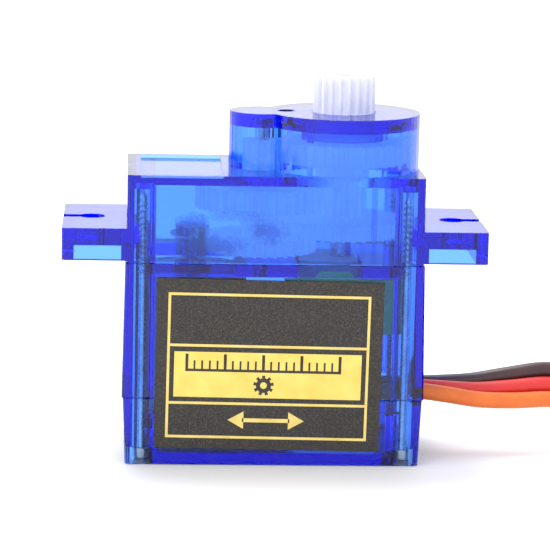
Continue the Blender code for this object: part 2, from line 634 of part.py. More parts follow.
def ribbon_points(route, number):
    """Where one wire of the ribbon runs: number is -1, 0 or 1 across its width."""
    points = []
    for index, (centre, roll, pitch) in enumerate(route):
        before, after = route[max(index - 1, 0)][0], route[min(index + 1, len(route) - 1)][0]
        heading = Vector(after) - Vector(before)
        level = Vector((-heading.y, heading.x, 0)).normalized()
        lean = math.radians(roll)
        across = level * math.cos(lean) + Vector((0, 0, 1)) * math.sin(lean)
        points.append(Vector(centre) + across * pitch * number)
    return points


def plug_row(number):
    """The middle of one wire's cavity in the plug, as (y, z)."""
    return PLUG_Y - PLUG_PITCH * number, (PLUG_LOW + PLUG_HIGH) / 2


def leads():
    for name, number, colour in WIRES:
        look = material("wire_" + name, colour, 0.45)
        start_x = 6.7 - 1.3 * number
        inner = [(start_x, BOARD_BACK + 0.3, EXIT_Z), (start_x + 0.25, -1.9 + 0.5 * number, EXIT_Z),
                 (start_x + 1.2, -0.5 + 1.1 * number, EXIT_Z), (9.2, -0.05 + 1.35 * number, EXIT_Z)]
        height = 1.95 + WIRE_PITCH * number
        coil_start = (COIL_LEFT - COIL_TAB - 0.3, COIL_Y + COIL_PATH_RADIUS, height)
        points = [Vector(p) for p in inner] + ribbon_points(LEAD_ROUTE, number) + [Vector(coil_start)]
        tube("lead_" + name, smooth_route(points, 2.0), WIRE_RADIUS, look)
        coil_end = (COIL_RIGHT + COIL_TAB + 0.3, COIL_Y - COIL_PATH_RADIUS, height)
        plug_end = (PLUG_BACK_X - 0.3, *plug_row(number))
        points = [Vector(coil_end)] + ribbon_points(TAIL_ROUTE, number) + [Vector(plug_end)]
        tube("lead_end_" + name, smooth_route(points, 1.5), WIRE_RADIUS, look)


def lead_coil():
    """The outer shape of the ribbon wound into a long coil, with a tab where each end leaves it."""
    outer, inner = COIL_PATH_RADIUS + 0.65, COIL_PATH_RADIUS - 0.65
    middle_x, half = (COIL_LEFT + COIL_RIGHT) / 2, (COIL_RIGHT - COIL_LEFT) / 2
    meet = math.degrees(math.asin(inner / outer))
    tab_x = half + COIL_TAB
    right = [(tab_x, -outer), (tab_x, -inner)] + arc(half, 0, outer, -meet, 90, 14)
    outline = [(middle_x + side * x, COIL_Y + side * y) for side in (1, -1) for x, y in right]
    place("lead_coil", prism(outline, COIL_LOW, COIL_TOP), material("wire_red", (0.8, 0.05, 0.04)))


def plug():
    half_width = PLUG_WIDTH / 2
    housing = box((PLUG_FRONT_X, PLUG_Y - half_width, PLUG_LOW),
                  (PLUG_BACK_X, PLUG_Y + half_width, PLUG_HIGH))
    cavities = []
    start = PLUG_FRONT_X + CONTACT_START
    for _, number, _ in WIRES:
        y, z = plug_row(number)
        cavities.append(box((PLUG_FRONT_X - 1, y - PLUG_CAVITY, z - PLUG_CAVITY),
                            (PLUG_BACK_X + 1, y + PLUG_CAVITY, z + PLUG_CAVITY)))
        contact = box((start, y - CONTACT_HALF_WIDTH, z - CONTACT_HALF_HEIGHT),
                      (start + CONTACT_LENGTH, y + CONTACT_HALF_WIDTH, z + CONTACT_HALF_HEIGHT))
        bore = box((start - 1, y - CONTACT_BORE_HALF, z - CONTACT_BORE_HALF),
                   (start + CONTACT_BORE_DEPTH, y + CONTACT_BORE_HALF, z + CONTACT_BORE_HALF))
        place(f"contact_{number + 2}", carved(contact, [bore]), brass(), (start, y, z))
    place("plug_housing", carved(housing, cavities), dark_plastic(), (PLUG_BACK_X, PLUG_Y, PLUG_LOW))


def main():
    for item in list(bpy.data.objects):
        bpy.data.objects.remove(item)
    top_case()
    middle_case()
    bottom_cover()
    case_screws()
    label()
    gears()
    output_gear(pivot_empty("output_axis", OUTPUT_X))
    motor()
    rotor(pivot_empty("motor_axis", MOTOR_X))
    potentiometer()
    circuit_board()
    motor_wires()
    leads()
    lead_coil()
    plug()


main()
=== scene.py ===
import math

import bmesh
import bpy
from mathutils import Matrix, Quaternion, Vector


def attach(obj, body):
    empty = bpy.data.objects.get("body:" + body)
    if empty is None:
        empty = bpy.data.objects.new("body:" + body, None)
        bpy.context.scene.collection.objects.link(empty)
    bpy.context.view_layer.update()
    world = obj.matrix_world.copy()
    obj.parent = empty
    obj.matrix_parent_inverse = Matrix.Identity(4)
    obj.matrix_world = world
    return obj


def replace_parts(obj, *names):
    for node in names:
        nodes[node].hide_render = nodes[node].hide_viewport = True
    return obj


# Sizes are in millimetres; MM turns them into the frame's metres.
MM = 0.001

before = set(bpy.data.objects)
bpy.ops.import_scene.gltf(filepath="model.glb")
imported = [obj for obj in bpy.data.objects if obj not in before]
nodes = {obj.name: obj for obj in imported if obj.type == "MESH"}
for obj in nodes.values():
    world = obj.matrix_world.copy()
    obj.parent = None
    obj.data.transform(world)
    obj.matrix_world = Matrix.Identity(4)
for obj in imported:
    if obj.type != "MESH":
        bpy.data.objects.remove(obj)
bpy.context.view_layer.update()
scene = bpy.context.scene


# ---- camera ------------------------------------------------------------------------------------
def add_camera():
    """A long lens from the front, a little from above and from the left, held slightly askew.

    It was solved from the ears' span and the case's width, then lengthened a little to fit the outlines.
    """
    aim, distance = Vector((0.28, 0.11, 13.69)) * MM, 214.27 * MM
    yaw, pitch, roll = math.radians(3.089), math.radians(10.39), math.radians(1.215)
    forward = Vector((math.sin(yaw) * math.cos(pitch), math.cos(yaw) * math.cos(pitch), -math.sin(pitch)))
    data = bpy.data.cameras.new("camera")
    data.sensor_width, data.lens = 36.0, 181.0
    data.clip_start, data.clip_end = 0.01, 10.0
    camera = bpy.data.objects.new("camera", data)
    scene.collection.objects.link(camera)
    camera.location = aim - forward * distance
    camera.rotation_mode = "QUATERNION"
    camera.rotation_quaternion = forward.to_track_quat("-Z", "Y") @ Quaternion((0, 0, 1), roll)
    scene.camera = camera


# ---- node materials ----------------------------------------------------------------------------
class Look:
    """A material with a Principled shader and short ways to add procedural detail."""

    def __init__(self, name, colour, roughness=0.4, metallic=0.0, **sockets):
        self.material = bpy.data.materials.new(name)
        self.material.use_nodes = True
        self.tree = self.material.node_tree
        self.shader = self.tree.nodes["Principled BSDF"]
        self.output = self.tree.nodes["Material Output"]
        self.set(Base_Color=(*colour, 1.0), Roughness=roughness, Metallic=metallic, **sockets)

    def set(self, **sockets):
        for name, value in sockets.items():
            self.shader.inputs[name.replace("_", " ")].default_value = value
        return self

    def node(self, kind, **values):
        made = self.tree.nodes.new(kind)
        for name, value in values.items():
            if name in made.inputs:
                made.inputs[name].default_value = value
            else:
                setattr(made, name, value)
        return made

    def link(self, source, target):
        self.tree.links.new(source, target)

    def noise(self, scale, detail=3.0, stretch=(1, 1, 1)):
        """Noise in the object's own space; scale is features per metre."""
        where = self.node("ShaderNodeTexCoord")
        mapping = self.node("ShaderNodeMapping")
        mapping.inputs["Scale"].default_value = stretch
        noise = self.node("ShaderNodeTexNoise", Scale=scale, Detail=detail)
        self.link(where.outputs["Object"], mapping.inputs["Vector"])
        self.link(mapping.outputs["Vector"], noise.inputs["Vector"])
        return noise.outputs["Fac"]

    def ramp(self, value, *stops):
        """stops are (position, colour or number)."""
        ramp = self.node("ShaderNodeValToRGB")
        elements = ramp.color_ramp.elements
        while len(elements) < len(stops):
            elements.new(1.0)
        for element, (position, colour) in zip(elements, stops):
            grey = isinstance(colour, (int, float))
            element.position = position
            element.color = (colour, colour, colour, 1.0) if grey else (*colour, 1.0)
        self.link(value, ramp.inputs["Fac"])
        return ramp.outputs["Color"]

    def to(self, socket, value):
        self.link(value, self.shader.inputs[socket])
        return self

    def level(self, low, high, bottom=0.0, top=1.0):
        """Goes from bottom to top between two heights in millimetres."""
        height = self.node("ShaderNodeSeparateXYZ")
        self.link(self.node("ShaderNodeTexCoord").outputs["Object"], height.inputs["Vector"])
        level = self.node("ShaderNodeMapRange")
        limits = {"From Min": low * MM, "From Max": high * MM, "To Min": bottom, "To Max": top}
        for name, value in limits.items():
            level.inputs[name].default_value = value
        self.link(height.outputs["Z"], level.inputs["Value"])
        return level.outputs["Result"]

    def fade_out(self, solid):
        """Thins the piece out unevenly, from this solid in its middle to nothing at its outline."""
        where = self.node("ShaderNodeTexCoord")
        centred = self.node("ShaderNodeMapping")
        centred.inputs["Location"].default_value = (-1, 0, -1)
        centred.inputs["Scale"].default_value = (2, 0, 2)
        ball = self.node("ShaderNodeTexGradient", gradient_type="SPHERICAL")
        self.link(where.outputs["Generated"], centred.inputs["Vector"])
        self.link(centred.outputs["Vector"], ball.inputs["Vector"])
        patchy = self.node("ShaderNodeMath", operation="MULTIPLY")
        self.link(ball.outputs["Fac"], patchy.inputs[0])
        self.link(self.ramp(self.noise(1800.0, 4.0), (0.35, 0.35), (0.62, 1.0)), patchy.inputs[1])
        return self.to("Alpha", self.ramp(patchy.outputs["Value"], (0.04, 0.0), (0.5, solid)))

    def bump(self, value, height, strength):
        """height is the relief's depth in millimetres."""
        bump = self.node("ShaderNodeBump", Strength=strength, Distance=height * MM)
        self.link(value, bump.inputs["Height"])
        self.link(bump.outputs["Normal"], self.shader.inputs["Normal"])
        return self


# White plastic's mottle, and a painted blue glow, standing in for the light scattered inside the case, that
# everything white in it is given.
WHITE_MOTTLE = (0.3, (0.92, 0.93, 0.98)), (0.7, (1.0, 1.0, 1.0))
PAINTED_CASE_GLOW, PAINTED_CASE_GLOW_STRENGTH = (0.30, 0.55, 1.0), 0.17
# Heights between which the shaft leaves the roof, above which the nylon loses its painted glow, and between
# which the board's tab leaves its shoulders, where the board's painted glow grows stronger.
ROOF_LEVEL = (26.0, 26.6)
TAB_LEVEL = (14.12, 14.20)


def clear_blue():
    """Clear blue moulded plastic: pale through one wall, ultramarine along a plate."""
    look = Look("clear_blue", (1.0, 1.0, 1.0), 0.05, IOR=1.45, Transmission_Weight=1.0)
    look.to("Roughness", look.ramp(look.noise(900.0, 4.0), (0.35, 0.05), (0.75, 0.13)))
    look.bump(look.noise(350.0, 2.0), 0.01, 0.5)
    # A millimetre lets through 9% of the red, 30% of the green and 92% of the blue.
    tint = look.node("ShaderNodeVolumeAbsorption")
    tint.inputs["Color"].default_value = (0.0, 0.51, 0.968, 1.0)
    tint.inputs["Density"].default_value = 2450.0
    look.link(tint.outputs["Volume"], look.output.inputs["Volume"])
    return look.material


def nylon():
    """White nylon: clearer inside the case, where it is painted whiter and given a painted blue glow for the
    light scattered there; greyer and nearly opaque outside.
    """
    look = Look("nylon", (0.80, 0.81, 0.92), 0.42, Subsurface_Weight=0.3, Subsurface_Scale=0.8 * MM)
    look.set(Subsurface_Radius=(1.0, 1.0, 1.0), Emission_Strength=PAINTED_CASE_GLOW_STRENGTH)
    # Inside the case the nylon is painted whiter and given the painted glow; above the roof it is greyer.
    outside = look.level(*ROOF_LEVEL)
    mottle = look.noise(700.0)
    # A mix of colours has its A and B at inputs 6 and 7 and its result at output 2.
    mix = look.node("ShaderNodeMix", data_type="RGBA")
    look.link(outside, mix.inputs["Factor"])
    look.link(look.ramp(mottle, *WHITE_MOTTLE), mix.inputs[6])
    look.link(look.ramp(mottle, (0.3, (0.69, 0.70, 0.82)), (0.7, (0.76, 0.77, 0.89))), mix.inputs[7])
    look.to("Base Color", mix.outputs[2])
    look.to("Transmission Weight", look.ramp(outside, (0.0, 0.6), (1.0, 0.1)))
    # The painted glow, inside the case only.
    look.to("Emission Color", look.ramp(outside, (0.0, PAINTED_CASE_GLOW), (1.0, 0.0)))
    look.to("Roughness", look.ramp(look.noise(1500.0), (0.3, 0.34), (0.7, 0.5)))
    look.bump(look.noise(3000.0, 4.0), 0.01, 0.4)
    return look.material


def inner_nylon():
    """White nylon behind the blue plastic, with a painted blue glow that stands in for the light scattered in
    the case.
    """
    look = Look("inner_nylon", (0.95, 0.96, 1.0), 0.45, Transmission_Weight=0.6)
    # Painted glow: the nylon shines with the case's scattered light though it is no lamp.
    look.set(Emission_Color=(*PAINTED_CASE_GLOW, 1.0), Emission_Strength=PAINTED_CASE_GLOW_STRENGTH)
    look.to("Base Color", look.ramp(look.noise(700.0), *WHITE_MOTTLE))
    look.to("Roughness", look.ramp(look.noise(1500.0), (0.3, 0.38), (0.7, 0.55)))
    look.bump(look.noise(3000.0, 4.0), 0.01, 0.4)
    return look.material


def metal(name, low, high, roughness, scale=2500.0, stretch=(1, 1, 1)):
    """Bare metal, mottled between two colours; stretch draws its grain out."""
    look = Look(name, high, roughness, 1.0)
    look.to("Base Color", look.ramp(look.noise(scale * 0.5), (0.3, low), (0.7, high)))
    grain = look.noise(scale, 3.0, stretch)
    look.to("Roughness", look.ramp(grain, (0.3, roughness * 0.75), (0.7, roughness * 1.3)))
    look.bump(grain, 0.01, 0.3)
    return look.material


def plastic(name, low, high, roughness, grain=4000.0, depth=0.01):
    """Opaque plastic or ink, mottled between two colours, with a grain of this depth in millimetres."""
    look = Look(name, high, roughness)
    look.to("Base Color", look.ramp(look.noise(grain * 0.2), (0.3, low), (0.7, high)))
    texture = look.noise(grain, 4.0)
    look.to("Roughness", look.ramp(texture, (0.3, roughness * 0.85), (0.7, roughness * 1.15)))
    look.bump(texture, depth, 0.4)
    return look.material


def solder_mask():
    """Green lacquer with a painted green glow, brightest on the tab that stands up into the gap in the deck.
    """
    look = Look("solder_mask", (0.06, 0.7, 0.2), 0.3, Emission_Color=(0.1, 0.8, 0.2, 1.0))
    look.to("Base Color", look.ramp(look.noise(800.0), (0.3, (0.05, 0.60, 0.17)), (0.7, (0.08, 0.78, 0.24))))
    # Painted glow: weak over the board, stronger on the tab above its shoulders.
    look.to("Emission Strength", look.level(*TAB_LEVEL, 0.10, 0.40))
    look.bump(look.noise(4000.0, 4.0), 0.01, 0.4)
    return look.material


def sticker():
    """Dark brown foil paper with a fine sparkle in it."""
    look = Look("sticker", (0.06, 0.045, 0.04), 0.5)
    specks = look.noise(9000.0, 2.0)
    look.to("Base Color", look.ramp(specks, (0.30, (0.006, 0.005, 0.006)), (0.52, (0.016, 0.013, 0.012)),
                                    (0.72, (0.060, 0.043, 0.024))))
    look.to("Roughness", look.ramp(look.noise(1200.0), (0.3, 0.42), (0.7, 0.58)))
    look.bump(specks, 0.008, 0.5)
    return look.material


def grease(name, colour, roughness, solid=None):
    """A half-clear film; one with a solid figure is that solid in its middle and fades out."""
    look = Look(name, colour, roughness, Transmission_Weight=0.9, IOR=1.42)
    film = look.noise(1400.0, 5.0)
    dark = tuple(c * 0.8 for c in colour)
    look.to("Base Color", look.ramp(film, (0.3, dark), (0.7, colour)))
    look.bump(film, 0.03, 0.6)
    if solid is None:
        look.set(Alpha=0.5)
    else:
        look.fade_out(solid)
    return look.material


# The material for each short name that the pieces below are given.
LOOKS = {
    "blue": clear_blue(),
    "nylon": nylon(),
    "inner_nylon": inner_nylon(),
    "screw": metal("plated_steel", (0.50, 0.50, 0.52), (0.78, 0.78, 0.80), 0.28),
    "can": metal("drawn_steel", (0.30, 0.30, 0.32), (0.46, 0.46, 0.48), 0.4, 1500.0, (1, 1, 0.1)),
    "brass": metal("brass", (0.62, 0.44, 0.14), (0.86, 0.66, 0.28), 0.3),
    "copper": metal("copper", (0.55, 0.22, 0.12), (0.80, 0.38, 0.24), 0.3),
    "tin": metal("solder", (0.60, 0.60, 0.60), (0.80, 0.80, 0.79), 0.25),
    "black": plastic("black_plastic", (0.012, 0.012, 0.014), (0.028, 0.028, 0.032), 0.45),
    "magnet": plastic("magnet", (0.05, 0.05, 0.055), (0.09, 0.09, 0.095), 0.6),
    "grey": plastic("grey_plastic", (0.48, 0.44, 0.58), (0.60, 0.56, 0.70), 0.5),
    "laminate": plastic("brown_laminate", (0.16, 0.07, 0.03), (0.25, 0.12, 0.06), 0.6),
    "board": solder_mask(),
    "sticker": sticker(),
    "gold_ink": plastic("gold_ink", (0.62, 0.47, 0.11), (0.72, 0.56, 0.17), 0.45),
    "yellow_ink": plastic("yellow_ink", (0.68, 0.50, 0.09), (0.76, 0.58, 0.13), 0.45),
    "dark_ink": plastic("dark_ink", (0.015, 0.01, 0.009), (0.03, 0.022, 0.018), 0.5),
    "wire_brown": plastic("brown_sleeve", (0.032, 0.010, 0.013), (0.055, 0.019, 0.022), 0.38, 2500.0),
    "wire_red": plastic("red_sleeve", (0.55, 0.014, 0.014), (0.65, 0.028, 0.026), 0.38, 2500.0),
    "wire_orange": plastic("orange_sleeve", (0.66, 0.12, 0.010), (0.74, 0.16, 0.016), 0.38, 2500.0),
    "grease": grease("white_grease", (0.95, 0.97, 1.0), 0.3, 0.8),
    "grease_gloss": grease("grease_drop", (0.85, 0.90, 1.0), 0.15),
    # A dark grey-blue film that darkens what is seen through it.
    "dark_film": grease("grey_film", (0.30, 0.38, 0.68), 0.45, 0.55),
    "strap": plastic("black_strap", (0.010, 0.010, 0.011), (0.022, 0.022, 0.024), 0.65, 3000.0, 0.03),
    "wire_black": plastic("black_sleeve", (0.015, 0.015, 0.015), (0.03, 0.03, 0.03), 0.4, 2500.0),
}


def dress(name, look):
    """Gives a CAD node its finished material."""
    mesh = nodes[name].data
    mesh.materials.clear()
    mesh.materials.append(LOOKS[look])


def soften(item, width, segments=2, angle=35):
    """Rounds a faceted piece's edges that turn by more than angle, in degrees; width is in millimetres."""
    weld = item.modifiers.new("weld", "WELD")
    weld.merge_threshold = 1e-6
    flat = item.modifiers.new("flat", "DECIMATE")
    flat.decimate_type, flat.angle_limit = "DISSOLVE", math.radians(0.5)
    bevel = item.modifiers.new("bevel", "BEVEL")
    bevel.width, bevel.segments, bevel.limit_method = width * MM, segments, "ANGLE"
    bevel.angle_limit, bevel.use_clamp_overlap = math.radians(angle), True
    bevel.harden_normals = False


# ---- mesh building -----------------------------------------------------------------------------
def store(name, bm, look, body="case", smooth=None):
    """A finished piece from a mesh drawn in millimetres in the shared frame; smooth is an angle in degrees."""
    bmesh.ops.recalc_face_normals(bm, faces=bm.faces)
    bmesh.ops.scale(bm, vec=(MM, MM, MM), verts=bm.verts)
    mesh = bpy.data.meshes.new(name)
    bm.to_mesh(mesh)
    bm.free()
    if smooth is not None:
        mesh.shade_smooth()
        mesh.set_sharp_from_angle(angle=math.radians(smooth))
    mesh.materials.append(LOOKS[look])
    item = bpy.data.objects.new(name, mesh)
    scene.collection.objects.link(item)
    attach(item, body)
    return item


def ring(bm, x, y, z, radius, sides):
    """A level circle of corners."""
    return [bm.verts.new((x + radius * math.cos(2 * math.pi * k / sides),
                          y + radius * math.sin(2 * math.pi * k / sides), z)) for k in range(sides)]


def skin(bm, rings):
    """Faces between each ring of corners and the next."""
    for low, high in zip(rings, rings[1:]):
        for k in range(len(low)):
            bm.faces.new((low[k - 1], low[k], high[k], high[k - 1]))


def rounded(x0, y0, x1, y1, radius):
    """A rectangle with round corners, anticlockwise."""
    points, steps = [], 5
    for x, y, start in ((x1 - radius, y0 + radius, -90), (x1 - radius, y1 - radius, 0),
                        (x0 + radius, y1 - radius, 90), (x0 + radius, y0 + radius, 180)):
        for i in range(steps + 1):
            turn = math.radians(start + 90 * i / steps)
            points.append((x + radius * math.cos(turn), y + radius * math.sin(turn)))
    return points


def sweep(bm, points, radius, sides):
    """A round rod along points, with filled ends."""
    rings, normal = [], None
    for i, point in enumerate(points):
        heading = (points[min(i + 1, len(points) - 1)] - points[max(i - 1, 0)]).normalized()
        if normal is None:
            normal = heading.orthogonal().normalized()
        normal = (normal - heading * normal.dot(heading)).normalized()
        side = heading.cross(normal)
        corners = []
        for k in range(sides):
            turn = 2 * math.pi * k / sides
            corners.append(bm.verts.new(point + (normal * math.cos(turn) + side * math.sin(turn)) * radius))
        rings.append(corners)
    skin(bm, rings)
    bm.faces.new(rings[0])
    bm.faces.new(rings[-1])


def smooth_route(points, spacing):
    """Evenly spaced points on a smooth curve (a Catmull-Rom spline) through the given ones."""
    fine, steps, count = [], 40, len(points)
    for i in range(count - 1):
        before, start = points[max(i - 1, 0)], points[i]
        end, after = points[i + 1], points[min(i + 2, count - 1)]
        for k in range(steps):
            t = k / steps
            fine.append(0.5 * (2 * start + (end - before) * t
                               + (2 * before - 5 * start + 4 * end - after) * t ** 2
                               + (3 * start - before - 3 * end + after) * t ** 3))
    fine.append(points[-1])
    even, gathered = [fine[0]], 0.0
    for a, b in zip(fine, fine[1:]):
        gathered += (b - a).length
        if gathered >= spacing:
            even.append(b)
            gathered = 0.0
    even[-1] = fine[-1]
    return even


# ---- cable -------------------------------------------------------------------------------------
WIRE_PITCH, WIRE_RADIUS, WIRE_LENGTH = 1.3, 0.645, 250.0
# Where the ribbon leaves the case, the board's back face and where its middle wire is soldered to it.
EXIT = Vector((11.4, 0.0, 4.9))
BOARD_BACK, BOARD_HOLE_X = -3.35, 6.7
# The ribbon's centre line, how far it has rolled from flat in degrees and the wires' spacing there:
# out of the case to the coil, then from the coil up to the plug that lies on it.
LEAD_ROUTE = [((11.4, 0.0, 4.9), 0, 1.3), ((13.6, 0.0, 4.8), 8, 1.3), ((16.2, 0.2, 4.65), 22, 1.3),
              ((19.0, 0.7, 4.75), 38, 1.3), ((22.2, 1.5, 4.85), 52, 1.3), ((25.0, 2.6, 4.1), 66, 1.3),
              ((27.8, 4.2, 2.9), 80, 1.3), ((30.0, 5.2, 2.2), 88, 1.3)]
TAIL_ROUTE = [((60.0, -9.3, 2.2), 86, 1.3), ((62.0, -7.6, 3.1), 68, 1.3), ((62.6, -4.8, 4.5), 42, 1.3),
              ((61.0, -2.4, 5.3), 15, 1.5), ((58.4, -1.65, 5.25), 3, 2.1)]
# The coil's two round ends are centred on COIL_LEFT and COIL_RIGHT, and the ribbon runs in and out straight.
COIL_LEFT, COIL_RIGHT, COIL_Y, COIL_Z = 37.0, 52.2, -2.1, 1.95
COIL_RADIUS, COIL_INNER = 7.54, 4.9
COIL_STRAIGHTS = (2.7, 5.4)
PLUG_BACK_X, PLUG_Y, PLUG_PITCH, PLUG_MIDDLE_Z = 56.0, -1.6, 2.54, 5.19
STRAP_X = (39.4, 40.9)
# The wires' colours and places across the ribbon.
WIRES = (("brown", 1), ("red", 0), ("orange", -1))


def ribbon_points(route, number):
    """Where one wire of the ribbon runs: number is -1, 0 or 1 across its width."""
    points = []
    for index, (centre, roll, pitch) in enumerate(route):
        before, after = route[max(index - 1, 0)][0], route[min(index + 1, len(route) - 1)][0]
        heading = Vector(after) - Vector(before)
        level = Vector((-heading.y, heading.x, 0)).normalized()
        lean = math.radians(roll)
        across = level * math.cos(lean) + Vector((0, 0, 1)) * math.sin(lean)
        points.append(Vector(centre) + across * pitch * number)
    return points


def round_spiral():
    """(x, y, crosses the middle) along a spiral turned inward, an S in its middle and the same way out."""
    steps, bend = 36, 12
    inward = []
    for i in range(steps + 1):
        turn = math.pi / 2 - 2 * math.pi * i / steps
        radius = COIL_RADIUS - (COIL_RADIUS - COIL_INNER) * i / steps
        inward.append((radius * math.cos(turn), radius * math.sin(turn), i % (steps // 2) == 0))
    half = COIL_INNER / 2
    for i in range(1, bend):
        turn = math.pi / 2 - math.pi * i / bend
        inward.append((half * math.cos(turn), half + half * math.sin(turn), False))
    return inward + [(0.0, 0.0, True)] + [(-x, -y, crosses) for x, y, crosses in reversed(inward)]


def coil_points(height):
    """The ribbon folded in half and wound up long: the round spiral with its two halves drawn apart."""
    middle, half, run = (COIL_LEFT + COIL_RIGHT) / 2, (COIL_RIGHT - COIL_LEFT) / 2, 15
    points, last_x = [], -1.0
    for x, y, crosses in round_spiral():
        if crosses:
            heading = 1 if last_x < 0 else -1
            offsets = [heading * half * (2 * i / run - 1) for i in range(run + 1)]
        else:
            offsets = [x + math.copysign(half, x)]
        points += [Vector((middle + offset, COIL_Y + y, height)) for offset in offsets]
        last_x = x
    return points


def wire_path(number):
    """One wire's centre line: board, case wall, coil and plug."""
    start_x = BOARD_HOLE_X - WIRE_PITCH * number
    inside = ((start_x, BOARD_BACK + 0.35), (start_x + 0.25, -1.9 + 0.5 * number),
              (start_x + 1.2, -0.5 + 1.1 * number), (9.2, -0.05 + 1.35 * number))
    points = [Vector((x, y, EXIT.z)) for x, y in inside]
    points += ribbon_points(LEAD_ROUTE, number)
    height = COIL_Z + WIRE_PITCH * number
    points += [Vector((COIL_LEFT - gap, COIL_Y + COIL_RADIUS, height)) for gap in reversed(COIL_STRAIGHTS)]
    points += coil_points(height)
    points += [Vector((COIL_RIGHT + gap, COIL_Y - COIL_RADIUS, height)) for gap in COIL_STRAIGHTS]
    points += ribbon_points(TAIL_ROUTE, number)
    plug_y = PLUG_Y - PLUG_PITCH * number
    points += [Vector((PLUG_BACK_X + past, plug_y, PLUG_MIDDLE_Z)) for past in (0.2, -2.0)]
    return smooth_route(points, 0.4)


def add_cable():
    """The three wires, each a cord that takes the place of its own CAD pieces and of the solid coil."""
    for name, number in WIRES:
        path = wire_path(number)
        bm = bmesh.new()
        sweep(bm, path, WIRE_RADIUS, 18)
        wire = store("wire_" + name, bm, "wire_" + name, smooth=60)
        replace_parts(wire, "lead_" + name, "lead_end_" + name, "lead_coil")


def add_tie():
    """A soft black strap round the wound lead, just in front of the plug."""
    inner = rounded(-10.31, 0.04, 6.11, 3.93, 1.1)
    outer = rounded(-10.56, 0.0, 6.36, 4.18, 1.3)
    bm = bmesh.new()
    loops = []
    for x in STRAP_X:
        for outline in (inner, outer):
            loops.append([bm.verts.new((x, y, z)) for y, z in outline])
    first_in, first_out, last_in, last_out = loops
    skin(bm, [first_in, first_out, last_out, last_in, first_in])
    store("lead_tie", bm, "strap", smooth=40)


# ---- printing on the sticker ---------------------------------------------------------------------
STICKER_CENTRE, STICKER_FRONT, STICKER_TILT = (-0.38, 7.8), -6.04, math.radians(0.7)
# How far each ink's front stands out from the sticker, no two of them level, and every ink's back.
YELLOW_LIFT, GOLD_LIFT, DARK_LIFT, INK_BACK = 0.012, 0.014, 0.02, 0.001
# The scale on the yellow bar: its left end and base line, its ticks' spacing and how many there are.
SCALE_X, SCALE_Z, TICK_PITCH, TICKS = -6.2, -0.35, 0.58, 21


def print_shapes(name, look, shapes, lift):
    """A layer of ink: each shape is a list of (x, z) from the sticker's centre, raised a little."""
    turn = (Matrix.Translation((STICKER_CENTRE[0], STICKER_FRONT, STICKER_CENTRE[1]))
            @ Matrix.Rotation(STICKER_TILT, 4, "Y"))
    bm = bmesh.new()
    for shape in shapes:
        back = [bm.verts.new(turn @ Vector((x, -INK_BACK, z))) for x, z in shape]
        front = [bm.verts.new(turn @ Vector((x, -lift, z))) for x, z in shape]
        bm.faces.new(back)
        bm.faces.new(front)
        for i in range(len(shape)):
            bm.faces.new((back[i - 1], back[i], front[i], front[i - 1]))
    return store(name, bm, look)


def bar(x0, z0, x1, z1):
    """A rectangle's corners, anticlockwise."""
    return [(x0, z0), (x1, z0), (x1, z1), (x0, z1)]


def frame_bars(x0, z0, x1, z1, width):
    """Four bars round a rectangle."""
    return [bar(x0, z0, x1, z0 + width), bar(x0, z1 - width, x1, z1),
            bar(x0, z0 + width, x0 + width, z1 - width), bar(x1 - width, z0 + width, x1, z1 - width)]


def cog(cx, cz, outer, inner, hole, teeth):
    """A gear wheel drawn as sectors, each a closed shape from the hole to the rim."""
    sectors = []
    for i in range(2 * teeth):
        start, end = math.pi * i / teeth, math.pi * (i + 1) / teeth
        radius = outer if i % 2 == 0 else inner
        sectors.append([(cx + r * math.cos(t), cz + r * math.sin(t))
                        for r, t in ((hole, start), (radius, start), (radius, end), (hole, end))])
    return sectors


def add_printing():
    """A gold border with two dividing lines and a double arrow, and a scale and a cog on a yellow bar."""
    border = frame_bars(-7.71, -5.72, 7.59, 5.48, 0.2)
    dividers = [bar(-7.51, 1.35, 7.39, 1.55), bar(-7.51, -3.1, 7.39, -2.9)]
    arrow = [bar(-1.9, -4.42, 1.7, -4.12), [(-1.8, -4.95), (-1.8, -3.59), (-3.0, -4.27)],
             [(1.6, -3.59), (1.6, -4.95), (2.8, -4.27)]]
    print_shapes("gold_print", "gold_ink", border + dividers + arrow, GOLD_LIFT)
    print_shapes("yellow_print", "yellow_ink", [bar(-7.16, -2.54, 7.04, 0.96)], YELLOW_LIFT)
    ticks = []
    for i in range(TICKS):
        x = SCALE_X + TICK_PITCH * i
        half_width, height = (0.11, 1.15) if i % 5 == 0 else (0.07, 0.65)
        ticks.append(bar(x - half_width, SCALE_Z, x + half_width, SCALE_Z + height))
    ticks.append(bar(-6.31, SCALE_Z - 0.2, 5.51, SCALE_Z))
    print_shapes("dark_print", "dark_ink", ticks + cog(-0.35, -1.55, 0.78, 0.58, 0.26, 9), DARK_LIFT)


# ---- case screws ---------------------------------------------------------------------------------
SCREW_X, SCREW_Y = 10.0, 4.7
HEAD_LOW, HEAD_EDGE, HEAD_TOP, HEAD_RADIUS = 0.35, 0.55, 1.15, 0.88
SHANK_RADIUS, THREAD_CREST, THREAD_ROOT, THREAD_PITCH = 0.47, 0.6, 0.4, 0.46
THREAD_LOW, THREAD_HIGH, SCREW_TIP = 14.2, 20.3, 20.9
# The cross recess: its arms' length and half-width, and its depth.
RECESS_ARM, RECESS_HALF, RECESS_DEPTH = 0.55, 0.14, 0.4


